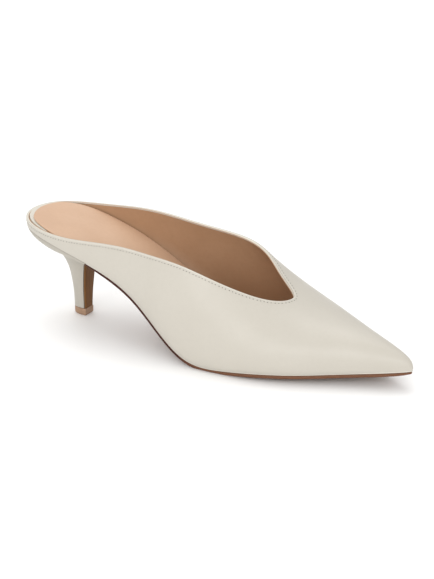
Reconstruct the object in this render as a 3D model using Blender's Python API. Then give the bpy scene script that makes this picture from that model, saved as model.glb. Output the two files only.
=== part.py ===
"""A pointed mule on a low curved heel: the hollow upper, the sole, the insole and its
sock, the heel and its top piece. Metres, +X to the toe, +Z up, lateral side at -Y."""
import math

import bmesh
import bpy
import numpy as np

for old in list(bpy.data.objects):
    bpy.data.objects.remove(old, do_unlink=True)

LENGTH = 0.2615        # upper, back of the heel to the toe
BALL_WIDTH = 0.082     # upper, across the ball
SEAT_HEIGHT = 0.054    # floor to the upper's lower edge at the back
RIDGE_HEIGHT = 0.108   # height that the ribs aim at, back of the collar
GAP = 0.0003           # clearance between pieces
WALL = 0.0018          # leather with its lining
TIP_HEIGHT = 0.0045    # the heel's top piece
SOLE = 0.0023          # outsole at the forefoot
FLAP = 0.001           # outsole down the heel's breast
SOCK = 0.0009
HEEL_ROUND = 0.016     # length over which the round heel opens
TOE_ROUND = 0.0042
NOSE_ROUND = 0.0048
THROAT_ROUND = 0.006
BACK_LEAN = 0.028      # how far the heel's ribs lean forward to the ridge
THROAT = 0.6954        # share of the length where the throat ends

# lateral, medial, tucks and crest are shares of BALL_WIDTH, widest and bottom of
# SEAT_HEIGHT, ridge of RIDGE_HEIGHT
SECTION_NAMES = ("lateral", "medial", "tuck_lateral", "tuck_medial",
                 "crest", "widest", "bottom", "ridge", "square")
SECTIONS = (
    (0.00, -0.357, 0.322, 0.010, 0.010, -0.011, 0.093, 0.993, 0.994, 2.0),
    (0.08, -0.374, 0.306, 0.011, 0.012, -0.024, 0.102, 0.964, 0.991, 2.0),
    (0.17, -0.393, 0.290, 0.018, 0.027, -0.037, 0.139, 0.890, 0.971, 2.0),
    (0.26, -0.405, 0.277, 0.030, 0.061, -0.043, 0.204, 0.776, 0.941, 2.0),
    (0.35, -0.417, 0.293, 0.036, 0.098, -0.037, 0.250, 0.565, 0.883, 2.0),
    (0.43, -0.460, 0.359, 0.034, 0.098, -0.024, 0.241, 0.287, 0.832, 2.0),
    (0.51, -0.498, 0.464, 0.032, 0.073, -0.006, 0.204, 0.072, 0.726, 2.0),
    (0.60, -0.483, 0.554, 0.028, 0.049, 0.010, 0.167, 0.044, 0.5361, 2.0),
    (0.68, -0.440, 0.564, 0.026, 0.030, 0.024, 0.139, 0.078, 0.3919, 2.1),
    (0.77, -0.327, 0.462, 0.022, 0.022, 0.039, 0.120, 0.105, 0.3119, 2.2),
    (0.85, -0.187, 0.322, 0.018, 0.018, 0.054, 0.102, 0.133, 0.2746, 2.2),
    (0.93, -0.060, 0.197, 0.010, 0.010, 0.067, 0.093, 0.171, 0.2305, 2.1),
    (1.00, 0.034, 0.106, 0.006, 0.006, 0.079, 0.083, 0.213, 0.1811, 2.0),
)
# degrees by which the collar's edge stops short of the ridge
COLLAR_NAMES = ("lateral", "medial")
COLLAR = (
    (0.00, 90.0, 90.0),
    (0.09, 89.8, 87.2),
    (0.18, 86.3, 81.7),
    (0.28, 78.4, 73.9),
    (0.39, 63.7, 61.4),
    (0.49, 49.9, 48.2),
    (0.57, 40.6, 33.0),
    (0.635, 30.3, 16.8),
    (0.6954, 18.5, 9.5),
)
# insole thickness as a share of SEAT_HEIGHT
INSOLE_NAMES = ("thick",)
INSOLE = (
    (0.00, 0.108), (0.08, 0.106), (0.17, 0.098), (0.28, 0.083), (0.40, 0.070), (0.60, 0.062), (0.95, 0.058),
)
# front and back edges of the heel from the seat down: x as shares of LENGTH, z of
# SEAT_HEIGHT, half width of BALL_WIDTH; round is the blend to a D, front its breast
# width; sag is how far the sides hang below the line between the edges
HEEL_NAMES = ("front_x", "front_z", "back_x", "back_z", "half", "round", "front", "sag")
HEEL = (
    (0.2160, 0.820, 0.004, 0.983, 0.330, 0.00, 1.00, 0.000),
    (0.2115, 0.808, 0.008, 0.942, 0.290, 0.10, 0.85, 0.022),
    (0.2020, 0.794, 0.018, 0.898, 0.241, 0.25, 0.73, 0.036),
    (0.1877, 0.770, 0.034, 0.850, 0.187, 0.45, 0.67, 0.038),
    (0.1739, 0.735, 0.055, 0.798, 0.145, 0.65, 0.69, 0.028),
    (0.1649, 0.665, 0.078, 0.733, 0.111, 0.82, 0.72, 0.012),
    (0.1605, 0.575, 0.097, 0.641, 0.093, 0.92, 0.77, 0.000),
    (0.1580, 0.463, 0.110, 0.526, 0.080, 1.00, 0.83, 0.000),
    (0.1562, 0.333, 0.117, 0.380, 0.068, 1.00, 0.88, 0.000),
    (0.1555, 0.204, 0.121, 0.230, 0.059, 1.00, 0.90, 0.000),
    (0.1555, 0.000, 0.123, 0.000, 0.052, 1.00, 0.90, 0.000),
)
HEEL_FRONT = 0.218     # share of LENGTH where the heel's thin front lip ends
HEEL_CENTRE = -0.052   # share of BALL_WIDTH
PLUG_END = 0.95        # share of the length where the insole ends
SOLE_START = 0.221     # share of the length where the outsole meets the heel's lip
SOLE_INSET = 0.0001    # the outsole's edge from the line where the upper turns under
WAIST_THIN = 0.0       # share of its thickness that the outsole loses at the waist
TOE_THIN = 0.6         # and at the very toe
TOE_TAPER = 0.006
SOLE_BEVEL = 0.0005
LIP_INSET = 0.0002     # more than GAP, from the lip's side
SOCK_BACK = 0.0036     # bare insole behind the sock
SOCK_INSET = 0.0008    # and along its sides
SOCK_EASE = 0.0016     # more of it round the back
SOCK_END = 0.91        # share of LENGTH
SOCK_BEVEL = 0.0005
TIP_BEVEL = 0.0011


def spline(xs, ys):
    """Natural cubic curve through the rows of a table."""
    count = len(xs)
    steps = np.diff(xs)
    matrix = np.eye(count)
    right = np.zeros(count)
    for i in range(1, count - 1):
        matrix[i, i - 1:i + 2] = steps[i - 1], 2 * (steps[i - 1] + steps[i]), steps[i]
        right[i] = 6 * ((ys[i + 1] - ys[i]) / steps[i] - (ys[i] - ys[i - 1]) / steps[i - 1])
    bend = np.linalg.solve(matrix, right)

    def curve(x):
        i = int(np.clip(np.searchsorted(xs, x) - 1, 0, count - 2))
        step = steps[i]
        after = x - xs[i]
        before = xs[i + 1] - x
        value = (bend[i] * before ** 3 + bend[i + 1] * after ** 3) / (6 * step)
        value += (ys[i] / step - bend[i] * step / 6) * before
        return value + (ys[i + 1] / step - bend[i + 1] * step / 6) * after
    return curve


def curves(names, rows):
    table = np.array(rows, dtype=float)
    return {name: spline(table[:, 0], table[:, i + 1]) for i, name in enumerate(names)}


SECTION = curves(SECTION_NAMES, SECTIONS)
OPENING = curves(COLLAR_NAMES, COLLAR)
INSOLE_CURVE = curves(INSOLE_NAMES, INSOLE)
SIDES = ("lateral", "medial")


def opens(distance, scale):
    """0 at a round end, 1 well away from it."""
    return math.sqrt(1 - math.exp(-max(distance, 0.0) / scale))


def breadth(u):
    return opens(u * LENGTH, HEEL_ROUND) * opens((1 - u) * LENGTH, TOE_ROUND)


def middle(u):
    return 0.5 * (SECTION["lateral"](u) + SECTION["medial"](u)) * BALL_WIDTH


def widest(u, side):
    edge = SECTION[side](u) * BALL_WIDTH
    return u * LENGTH, middle(u) + (edge - middle(u)) * breadth(u)


def feather(u, side):
    """The line where the upper turns under, above the outsole."""
    back = SECTION["tuck_lateral"](0.0) * BALL_WIDTH
    front = SECTION["tuck_lateral"](1.0) * BALL_WIDTH
    tuck = SECTION["tuck_" + side](u) * BALL_WIDTH
    edge = SECTION[side](u) * BALL_WIDTH
    inner = edge + tuck if side == "lateral" else edge - tuck
    return back + u * (LENGTH - back - front), middle(u) + (inner - middle(u)) * breadth(u)


def seat(u):
    return SECTION["bottom"](u) * SEAT_HEIGHT


def last_point(u, side, angle):
    """The last's surface: -90 at the feather line, 0 at the widest, 90 on the ridge."""
    ox, oy = widest(u, side)
    nose = opens(LENGTH - ox, NOSE_ROUND)
    low = seat(u)
    wide = low + SECTION["widest"](u) * SEAT_HEIGHT * (0.35 + 0.65 * nose)
    if angle < 0:
        fx, fy = feather(u, side)
        c = math.cos(math.radians(angle))
        s = -math.sin(math.radians(angle))
        return fx + (ox - fx) * c, fy + (oy - fy) * c, wide + (low - wide) * s
    high = wide + (SECTION["ridge"](u) * RIDGE_HEIGHT - wide) * nose
    lean = BACK_LEAN * max(1 - u / 0.3, 0.0) ** 2
    power = 2 / SECTION["square"](u)
    c = abs(math.cos(math.radians(angle))) ** power
    s = abs(math.sin(math.radians(angle))) ** power
    crest = SECTION["crest"](u) * BALL_WIDTH
    return ox + lean * (1 - c), crest + (oy - crest) * c, wide + (high - wide) * s


def collar_angle(u, side):
    if u >= THROAT:
        return 90.0
    return 90 - OPENING[side](u) * opens((THROAT - u) * LENGTH, THROAT_ROUND)


def insole_angle(u, side):
    """The angle at which the last is one insole thickness above the feather line."""
    nose = opens(LENGTH - u * LENGTH, NOSE_ROUND)
    reach = SECTION["widest"](u) * SEAT_HEIGHT * (0.35 + 0.65 * nose)
    thick = INSOLE_CURVE["thick"](u) * SEAT_HEIGHT
    if thick < reach:
        return -math.degrees(math.asin(1 - thick / reach))
    high = SECTION["ridge"](u) * RIDGE_HEIGHT - seat(u) - reach
    return math.degrees(math.asin((thick - reach) / high))


def stations(start, end, count, close_start=True, close_end=True):
    """Shares of the length, closer together towards the round ends."""
    first = 0.0 if close_start else 0.5
    last = 1.0 if close_end else 0.5
    shares = []
    for i in range(count + 1):
        t = first + (last - first) * i / count
        low = 0.5 - 0.5 * math.cos(math.pi * first)
        high = 0.5 - 0.5 * math.cos(math.pi * last)
        shares.append(start + (end - start) * (0.5 - 0.5 * math.cos(math.pi * t) - low) / (high - low))
    return shares


class Skin:
    """Collects faces over shared corners; corners at one place become one vertex."""

    def __init__(self):
        self.mesh = bmesh.new()
        self.known = {}

    def vertex(self, co):
        key = tuple(round(float(c), 6) for c in co)
        if key not in self.known:
            self.known[key] = self.mesh.verts.new(tuple(float(c) for c in co))
        return self.known[key]

    def face(self, corners):
        around = []
        for vert in corners:
            if vert not in around:
                around.append(vert)
        if len(around) > 2 and self.mesh.faces.get(around) is None:
            self.mesh.faces.new(around)

    def strip(self, first, second, closed=False):
        count = len(first)
        for i in range(count if closed else count - 1):
            j = (i + 1) % count
            self.face([first[i], first[j], second[j], second[i]])

    def grid(self, rows, closed=False):
        for i in range(len(rows) - 1):
            self.strip(rows[i], rows[i + 1], closed)


def finish(name, skin, colour, roughness):
    mesh = skin.mesh
    bmesh.ops.recalc_face_normals(mesh, faces=mesh.faces[:])
    if mesh.calc_volume(signed=True) < 0:
        bmesh.ops.reverse_faces(mesh, faces=mesh.faces[:])
    data = bpy.data.meshes.new(name)
    mesh.to_mesh(data)
    mesh.free()
    for polygon in data.polygons:
        polygon.use_smooth = True
    thing = bpy.data.objects.new(name, data)
    bpy.context.collection.objects.link(thing)
    material = bpy.data.materials.new(name + "_material")
    material.use_nodes = True
    shader = material.node_tree.nodes["Principled BSDF"]
    shader.inputs["Base Color"].default_value = (*colour, 1.0)
    shader.inputs["Roughness"].default_value = roughness
    data.materials.append(material)
    return thing


def last_rows(shares, rows, top_of):
    """Points over the last for both sides: side, station, row."""
    sides = {}
    for side in SIDES:
        sides[side] = []
        for u in shares:
            top = top_of(u, side)
            line = [last_point(u, side, -90 + (top + 90) * j / rows) for j in range(rows + 1)]
            sides[side].append(line)
    return sides


def offset_rows(sides, distance):
    """The same rows moved inwards along the surface's own normals."""
    skin = Skin()
    verts = {side: [[skin.vertex(co) for co in line] for line in sides[side]] for side in SIDES}
    skin.grid(verts["lateral"])
    skin.grid([list(reversed(line)) for line in verts["medial"]])
    bmesh.ops.recalc_face_normals(skin.mesh, faces=skin.mesh.faces[:])
    skin.mesh.normal_update()
    probe = verts["lateral"][len(verts["lateral"]) // 2][2]
    inwards = 1.0 if probe.normal.y > 0 else -1.0
    moved = {}
    for side in SIDES:
        moved[side] = []
        for line in verts[side]:
            row = [tuple(vert.co + vert.normal * distance * inwards) for vert in line]
            foot = line[0].co
            row[0] = (foot.x, foot.y, foot.z + distance)
            moved[side].append(row)
    skin.mesh.free()
    return moved


def build_upper():
    shares = stations(0.0, THROAT, 27) + stations(THROAT, 1.0, 18)[1:]
    outer = last_rows(shares, 13, collar_angle)
    inner = offset_rows(outer, WALL)
    skin = Skin()
    out_verts = {}
    in_verts = {}
    for side in SIDES:
        out_verts[side] = [[skin.vertex(co) for co in line] for line in outer[side]]
        in_verts[side] = [[skin.vertex(co) for co in line] for line in inner[side]]
        skin.grid(out_verts[side])
        skin.grid(in_verts[side])
        skin.strip([line[0] for line in out_verts[side]], [line[0] for line in in_verts[side]])
        edge_out = [line[-1] for line, u in zip(out_verts[side], shares) if u <= THROAT]
        edge_in = [line[-1] for line, u in zip(in_verts[side], shares) if u <= THROAT]
        skin.strip(edge_out, edge_in)
    return finish("upper", skin, (0.72, 0.69, 0.61), 0.35)


def build_insole():
    """Fills the space above the outsole inside the turned-under wall."""
    shares = stations(0.0, PLUG_END, 30, close_end=False)
    moved = offset_rows(last_rows(shares, 5, insole_angle), WALL + GAP)
    skin = Skin()
    rings = []
    for i, u in enumerate(shares):
        ring = []
        for side in SIDES:
            x, y = feather(u, side)
            tuck = SECTION["tuck_" + side](u) * BALL_WIDTH
            inset = 2 * GAP + max(WALL - 0.5 * tuck, GAP)
            shrink = max(1 - inset / max(abs(y - middle(u)), 1e-6), 0.0)
            x = x + inset * (1 - breadth(u))
            y = middle(u) + (y - middle(u)) * shrink
            line = moved[side][i][1:]
            rim = min(seat(u) + WALL + GAP, line[0][2])
            ring.append([skin.vertex(co) for co in [(x, y, seat(u) + GAP), (x, y, rim)] + line])
        rings.append(ring[0] + list(reversed(ring[1])))
    skin.grid(rings, closed=True)
    skin.face(rings[-1])
    top = {side: [line[-1] for line in moved[side]] for side in SIDES}
    return finish("insole", skin, (0.74, 0.71, 0.63), 0.4), top


def build_sock(top):
    """The tan sheet on the insole, set in from its pale edge at the back."""
    back = 0.5 * (top["lateral"][0][0] + top["medial"][0][0])
    start = back + SOCK_BACK
    end = SOCK_END * LENGTH
    skin = Skin()
    rings = []
    for u in stations(0.0, 1.0, 26, close_end=False):
        x = start + u * (end - start)
        inset = SOCK_INSET + SOCK_EASE * max(1 - u / 0.10, 0.0)
        edges = []
        for side in SIDES:
            line = top[side]
            y = np.interp(x + 0.3 * inset, [p[0] for p in line], [p[1] for p in line])
            edges.append(float(y))
        centre = 0.5 * (edges[0] + edges[1])
        half = max(0.5 * (edges[1] - edges[0]) - inset, 0.0)
        half *= opens(x - start, SOCK_INSET + 0.1 * HEEL_ROUND)
        heights = []
        for side in SIDES:
            line = top[side]
            heights.append(float(np.interp(x, [p[0] for p in line], [p[2] for p in line])))
        low = max(heights) + GAP
        edge = half - SOCK_BEVEL
        shoulder = low + 0.7 * SOCK
        ring = [(x, centre - half, low), (x, centre - half, shoulder), (x, centre - edge, low + SOCK),
                (x, centre + edge, low + SOCK), (x, centre + half, shoulder), (x, centre + half, low)]
        if half < 2 * SOCK_BEVEL:
            ring = [(x, centre, low), (x, centre, shoulder), (x, centre, low + SOCK)]
            ring = ring + list(reversed(ring))
        rings.append([skin.vertex(co) for co in ring])
    skin.grid(rings, closed=True)
    skin.face(rings[-1])
    return finish("sock", skin, (0.55, 0.36, 0.22), 0.5)


def feather_at(x, side):
    """The feather line's y at a distance from the back."""
    back = SECTION["tuck_lateral"](0.0) * BALL_WIDTH
    front = SECTION["tuck_lateral"](1.0) * BALL_WIDTH
    u = (x - back) / (LENGTH - back - front)
    return feather(u, side)[1], seat(u)


def heel_levels():
    """Rings of the heel from the seat down; each holds lateral points from the breast
    to the back, then medial points to the breast."""
    count = 14
    centre = HEEL_CENTRE * BALL_WIDTH
    back = SECTION["tuck_lateral"](0.0) * BALL_WIDTH
    seat_ring = {side: [] for side in SIDES}
    spread = [math.sin(0.5 * math.pi * j / count) for j in range(count + 1)]
    for side in SIDES:
        for share in spread:
            x = HEEL_FRONT * LENGTH + (back - HEEL_FRONT * LENGTH) * share
            y, z = feather_at(x, side)
            seat_ring[side].append((x + GAP * share, centre + (y - centre) * 0.988, z - GAP))
    rings = [seat_ring]
    for row in HEEL:
        values = dict(zip(HEEL_NAMES, row))
        half = values["half"] * BALL_WIDTH
        scale = half / (HEEL[0][4] * BALL_WIDTH)
        sag = values["sag"] * SEAT_HEIGHT
        low = TIP_HEIGHT + GAP
        front_z = max(values["front_z"] * SEAT_HEIGHT, low)
        back_z = max(values["back_z"] * SEAT_HEIGHT, low)
        ring = {side: [] for side in SIDES}
        for side in SIDES:
            sign = -1.0 if side == "lateral" else 1.0
            for j, share in enumerate(spread):
                x = (values["front_x"] + (values["back_x"] - values["front_x"]) * share) * LENGTH
                z = max(front_z + (back_z - front_z) * share - sag * math.sin(math.pi * share), low)
                own = (seat_ring[side][j][1] - centre) * scale
                rise = math.sin(0.5 * math.pi * min(share / 0.55, 1.0))
                bow = math.sqrt(max(1 - share ** 2.6, 0.0))
                bow *= values["front"] + (1 - values["front"]) * rise
                y = centre + (1 - values["round"]) * own + values["round"] * sign * half * bow
                ring[side].append((x, y, z))
        rings.append(ring)
    return rings


def build_heel(levels):
    skin = Skin()
    rings = []
    for ring in levels:
        points = ring["lateral"] + list(reversed(ring["medial"]))[1:]
        rings.append([skin.vertex(co) for co in points])
    skin.grid(rings, closed=True)
    for ring in (rings[0], rings[-1]):
        half = len(ring) // 2
        lateral = ring[:half + 1]
        medial = list(reversed(ring[half:]))
        skin.strip(lateral, medial)
    return finish("heel", skin, (0.70, 0.67, 0.59), 0.35)


def sole_section(x, z, nx, nz, lateral, medial, thick, flat=True):
    """One cut through the outsole: upper edge, rounded lower edge."""
    low_x = x + nx * thick
    low_z = z + nz * thick
    part = 0.62
    mid_x = x + nx * thick * part
    mid_z = z + nz * thick * part
    if flat:
        low_z = max(low_z, 0.0)
        mid_z = max(mid_z, (1 - part) * z)
    step = min(SOLE_BEVEL, 0.25 * (medial - lateral))
    return [(x, lateral, z), (mid_x, lateral, mid_z), (low_x, lateral + step, low_z),
            (low_x, medial - step, low_z), (mid_x, medial, mid_z), (x, medial, z)]


def build_outsole(levels):
    """Under the upper, then under the heel's lip and down its breast."""
    cuts = []
    shares = list(reversed(stations(SOLE_START, 1.0, 34, close_start=False)))
    for u in shares:
        x, lateral = feather(u, "lateral")
        medial = feather(u, "medial")[1]
        before = seat(max(u - 0.004, 0.0))
        after = seat(min(u + 0.004, 1.0))
        slope = (after - before) / (0.008 * LENGTH if u < 0.996 else 0.004 * LENGTH)
        size = math.hypot(1.0, slope)
        inset = SOLE_INSET * breadth(u)
        waist = max(0.0, 1 - ((u - 0.36) / 0.2) ** 2) if u < 0.56 else 0.0
        toe = 1 - opens((1 - u) * LENGTH, TOE_TAPER)
        thick = SOLE * (1 - WAIST_THIN * waist) * (1 - TOE_THIN * toe)
        z = seat(u) - GAP
        cuts.append(sole_section(x, z, slope / size, -1 / size, lateral + inset, medial - inset, thick))
    points = []
    for ring in levels[1:]:
        points.append((ring["lateral"][0], ring["medial"][0]))
    path = [(p[0][0], p[0][2]) for p in points]
    bottom = TIP_HEIGHT + GAP
    for i, (lateral, medial) in enumerate(points):
        ahead = path[max(i - 1, 0)]
        behind = path[min(i + 1, len(path) - 1)]
        tx = behind[0] - ahead[0]
        tz = behind[1] - ahead[1]
        size = math.hypot(tx, tz)
        nx = -tz / size
        nz = tx / size
        if i == len(points) - 1:
            nx, nz = 1.0, 0.0
        x = path[i][0] + nx * GAP
        z = path[i][1] + nz * GAP
        thick = FLAP + (SOLE * 0.7 - FLAP) * max(1 - i / 4, 0.0)
        inset = GAP + LIP_INSET * max(1 - i / 4, 0.0)
        z = max(z, bottom)
        cuts.append(sole_section(x, z, nx, nz, lateral[1] + inset, medial[1] - inset, thick, False))
    skin = Skin()
    rings = [[skin.vertex(co) for co in cut] for cut in cuts]
    skin.grid(rings, closed=True)
    skin.face(rings[-1])
    return finish("outsole", skin, (0.12, 0.07, 0.045), 0.45)


def build_top_piece(levels):
    """The heel's D, carried down to the floor with a rounded lower edge."""
    ring = levels[-1]
    front = ring["lateral"][0][0]
    reach = GAP + FLAP
    outline = ring["lateral"] + list(reversed(ring["medial"]))[1:]
    xs = [p[0] for p in outline]
    middle_x = 0.5 * (min(xs) + max(xs) + reach)
    centre = HEEL_CENTRE * BALL_WIDTH
    skin = Skin()
    rings = []
    for share, rise in ((0.0, TIP_HEIGHT), (0.0, TIP_BEVEL), (0.3, 0.27 * TIP_BEVEL), (0.8, 0.0)):
        inset = share * TIP_BEVEL
        points = []
        for x, y, _ in outline:
            x = x + reach * max(0.0, 1 - (front - x) / 0.004)
            dx = x - middle_x
            dy = y - centre
            size = math.hypot(dx, dy)
            points.append((middle_x + dx * (1 - inset / size), centre + dy * (1 - inset / size), rise))
        rings.append([skin.vertex(co) for co in points])
    skin.grid(rings, closed=True)
    skin.face(rings[0])
    skin.face(rings[-1])
    return finish("top_piece", skin, (0.52, 0.34, 0.2), 0.5)


levels = heel_levels()
upper = build_upper()
insole, insole_top = build_insole()
sock = build_sock(insole_top)
heel = build_heel(levels)
outsole = build_outsole(levels)
top_piece = build_top_piece(levels)

pieces = (upper, insole, sock, heel, outsole, top_piece)
low = [min(v.co[axis] for piece in pieces for v in piece.data.vertices) for axis in range(3)]
high = [max(v.co[axis] for piece in pieces for v in piece.data.vertices) for axis in range(3)]
for piece in pieces:
    for vert in piece.data.vertices:
        vert.co.x -= 0.5 * (low[0] + high[0])
        vert.co.y -= 0.5 * (low[1] + high[1])
        vert.co.z -= low[2]
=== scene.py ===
import math

import bmesh
import bpy
import numpy as np
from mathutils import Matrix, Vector
from mathutils.bvhtree import BVHTree


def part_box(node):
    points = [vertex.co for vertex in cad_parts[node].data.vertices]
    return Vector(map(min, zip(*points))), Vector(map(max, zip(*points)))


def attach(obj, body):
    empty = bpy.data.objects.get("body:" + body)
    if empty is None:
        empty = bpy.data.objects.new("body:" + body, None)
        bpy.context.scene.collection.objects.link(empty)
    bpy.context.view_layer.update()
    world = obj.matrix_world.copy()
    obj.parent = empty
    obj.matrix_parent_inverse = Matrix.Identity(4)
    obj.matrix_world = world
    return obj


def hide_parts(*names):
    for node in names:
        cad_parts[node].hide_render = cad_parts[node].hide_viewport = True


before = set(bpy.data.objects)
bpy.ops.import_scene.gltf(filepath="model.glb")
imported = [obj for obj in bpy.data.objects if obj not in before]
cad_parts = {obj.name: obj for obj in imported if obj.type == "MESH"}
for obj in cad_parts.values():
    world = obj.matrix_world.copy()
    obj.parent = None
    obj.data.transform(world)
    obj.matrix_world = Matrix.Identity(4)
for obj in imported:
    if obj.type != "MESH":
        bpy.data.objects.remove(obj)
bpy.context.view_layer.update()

# sizes and tables of the CAD solids, in metres
LENGTH = 0.2615        # upper, back of the heel to the toe
BALL_WIDTH = 0.082     # upper, across the ball
SEAT_HEIGHT = 0.054    # floor to the upper's lower edge at the back
RIDGE_HEIGHT = 0.108   # height that the ribs aim at, back of the collar
GAP = 0.0003           # clearance between pieces
WALL = 0.0018          # leather with its lining
TIP_HEIGHT = 0.0045    # the heel's top piece
SOLE = 0.0023          # outsole at the forefoot
FLAP = 0.001           # outsole down the heel's breast
SOCK = 0.0009
HEEL_ROUND = 0.016     # length over which the round heel opens
TOE_ROUND = 0.0042
NOSE_ROUND = 0.0048
THROAT_ROUND = 0.006
BACK_LEAN = 0.028      # how far the heel's ribs lean forward to the ridge
LEAN_END = 0.3         # share of the length where that lean ends
NOSE_LOW = 0.35        # share of the widest line's height that is left at the very toe
THROAT = 0.6954        # share of the length where the throat ends

# lateral, medial, tucks and crest are shares of BALL_WIDTH, widest and bottom of
# SEAT_HEIGHT, ridge of RIDGE_HEIGHT; square 2 gives an elliptical rib, more a boxier one
SECTION_NAMES = ("lateral", "medial", "tuck_lateral", "tuck_medial",
                 "crest", "widest", "bottom", "ridge", "square")
SECTIONS = (
    (0.00, -0.357, 0.322, 0.010, 0.010, -0.011, 0.093, 0.993, 0.994, 2.0),
    (0.08, -0.374, 0.306, 0.011, 0.012, -0.024, 0.102, 0.964, 0.991, 2.0),
    (0.17, -0.393, 0.290, 0.018, 0.027, -0.037, 0.139, 0.890, 0.971, 2.0),
    (0.26, -0.405, 0.277, 0.030, 0.061, -0.043, 0.204, 0.776, 0.941, 2.0),
    (0.35, -0.417, 0.293, 0.036, 0.098, -0.037, 0.250, 0.565, 0.883, 2.0),
    (0.43, -0.460, 0.359, 0.034, 0.098, -0.024, 0.241, 0.287, 0.832, 2.0),
    (0.51, -0.498, 0.464, 0.032, 0.073, -0.006, 0.204, 0.072, 0.726, 2.0),
    (0.60, -0.483, 0.554, 0.028, 0.049, 0.010, 0.167, 0.044, 0.5361, 2.0),
    (0.68, -0.440, 0.564, 0.026, 0.030, 0.024, 0.139, 0.078, 0.3919, 2.1),
    (0.77, -0.327, 0.462, 0.022, 0.022, 0.039, 0.120, 0.105, 0.3119, 2.2),
    (0.85, -0.187, 0.322, 0.018, 0.018, 0.054, 0.102, 0.133, 0.2746, 2.2),
    (0.93, -0.060, 0.197, 0.010, 0.010, 0.067, 0.093, 0.171, 0.2305, 2.1),
    (1.00, 0.034, 0.106, 0.006, 0.006, 0.079, 0.083, 0.213, 0.1811, 2.0),
)
# degrees by which the collar's edge stops short of the ridge
COLLAR_NAMES = ("lateral", "medial")
COLLAR = (
    (0.00, 90.0, 90.0),
    (0.09, 89.8, 87.2),
    (0.18, 86.3, 81.7),
    (0.28, 78.4, 73.9),
    (0.39, 63.7, 61.4),
    (0.49, 49.9, 48.2),
    (0.57, 40.6, 33.0),
    (0.635, 30.3, 16.8),
    (0.6954, 18.5, 9.5),
)
# insole thickness as a share of SEAT_HEIGHT
INSOLE_NAMES = ("thick",)
INSOLE = (
    (0.00, 0.108), (0.08, 0.106), (0.17, 0.098), (0.28, 0.083),
    (0.40, 0.070), (0.60, 0.062), (0.95, 0.058),
)
# front and back edges of the heel from the seat down: x as shares of LENGTH, z of
# SEAT_HEIGHT, half width of BALL_WIDTH; round is the blend to a D, front its breast
# width; sag is how far the sides hang below the line between the edges
HEEL_NAMES = ("front_x", "front_z", "back_x", "back_z", "half", "round", "front", "sag")
HEEL = (
    (0.2160, 0.820, 0.004, 0.983, 0.330, 0.00, 1.00, 0.000),
    (0.2115, 0.808, 0.008, 0.942, 0.290, 0.10, 0.85, 0.022),
    (0.2020, 0.794, 0.018, 0.898, 0.241, 0.25, 0.73, 0.036),
    (0.1877, 0.770, 0.034, 0.850, 0.187, 0.45, 0.67, 0.038),
    (0.1739, 0.735, 0.055, 0.798, 0.145, 0.65, 0.69, 0.028),
    (0.1649, 0.665, 0.078, 0.733, 0.111, 0.82, 0.72, 0.012),
    (0.1605, 0.575, 0.097, 0.641, 0.093, 0.92, 0.77, 0.000),
    (0.1580, 0.463, 0.110, 0.526, 0.080, 1.00, 0.83, 0.000),
    (0.1562, 0.333, 0.117, 0.380, 0.068, 1.00, 0.88, 0.000),
    (0.1555, 0.204, 0.121, 0.230, 0.059, 1.00, 0.90, 0.000),
    (0.1555, 0.000, 0.123, 0.000, 0.052, 1.00, 0.90, 0.000),
)
HEEL_FRONT = 0.218     # share of LENGTH where the heel's thin front lip ends
HEEL_CENTRE = -0.052   # share of BALL_WIDTH
SEAT_FIT = 0.988       # breadth of the heel's top as a share of the seat's
D_RISE = 0.55          # share of the heel's depth over which its D opens from the breast
D_POWER = 2.6          # roundness of the D
PLUG_END = 0.95        # share of the length where the insole ends
SOLE_START = 0.221     # share of the length where the outsole meets the heel's lip
SOLE_INSET = 0.0001    # the outsole's edge from the line where the upper turns under
SLOPE_STEP = 0.004     # share of LENGTH on either side over which the sole's slope is read
TOE_THIN = 0.6         # share of its thickness that the outsole loses at the very toe
TOE_TAPER = 0.006
LIP_FADE = 4.0         # rows of HEEL over which the outsole thins to the flap
LIP_INSET = 0.0002     # more than GAP, from the lip's side
SOCK_BACK = 0.0036     # bare insole behind the sock
SOCK_INSET = 0.0008    # and along its sides
SOCK_EASE = 0.0016     # more of it round the back
SOCK_EASE_END = 0.10   # share of the sock's length where that ends
SOCK_AHEAD = 0.3       # share of the inset by which the outline is read further ahead
SOCK_ROUND = 0.1       # share of HEEL_ROUND that the sock's back adds to its own rounding
SOCK_END = 0.91        # share of LENGTH
TIP_BLEND = 0.004      # length behind its front edge over which the tip reaches under the flap

FOLD = 0.0007          # depth of the collar's pale edge
FOLD_RISE = 0.00007    # how far it stands proud
OUTER_LEATHER = 0.0012
LINING_START = 0.00125
COLLAR_STEP = 0.0008   # spacing of the points round the collar
STITCH_PITCH = 0.0021
STITCH_INSET = 0.0018  # from the collar's edge
STITCH_LENGTH = 0.0012
STITCH_RADIUS = 0.00017
STITCH_SINK = 0.00005
HOLE_LENGTH = 0.0007
HOLE_RADIUS = 0.00025
HOLE_SINK = 0.00006
BEAD = 0.00042         # radius of the roll above the outsole
BEAD_RISE = 0.9        # share of BEAD that its centre lies above the feather line
BEAD_OUT = 0.35        # and outside it
BEAD_START = 0.222     # share of the length where it begins
SEAM_ANGLE = -70.0     # where the heel's cover meets the upper's turned-under side
SEAM = 0.00016         # radius of the line there
LIP_ROWS = 1.0         # rows of HEEL under which the outsole's edge stays dark
SOLE_JOIN = 0.5        # share of its thickness that the outsole keeps at the heel
JOIN_FADE = 0.009      # length over which it thickens again
INSOLE_TAN = 0.026     # distance from the back where the insole's top turns tan
GRAIN_DEPTH = 0.00003  # height of the leather's pores and creases
WAVE_DEPTH = 0.00025
EDGE_TURN = (-0.004, 0.012)  # x between which the outsole's edge turns from dark to brown
FLOOR_LOW = (0.91, 0.91, 0.91)
FLOOR_HIGH = (0.93, 0.93, 0.93)
FLOOR_HALF = 6.0
FLOOR_DROP = 0.00002   # keeps the floor clear of the faces that stand on it
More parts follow.
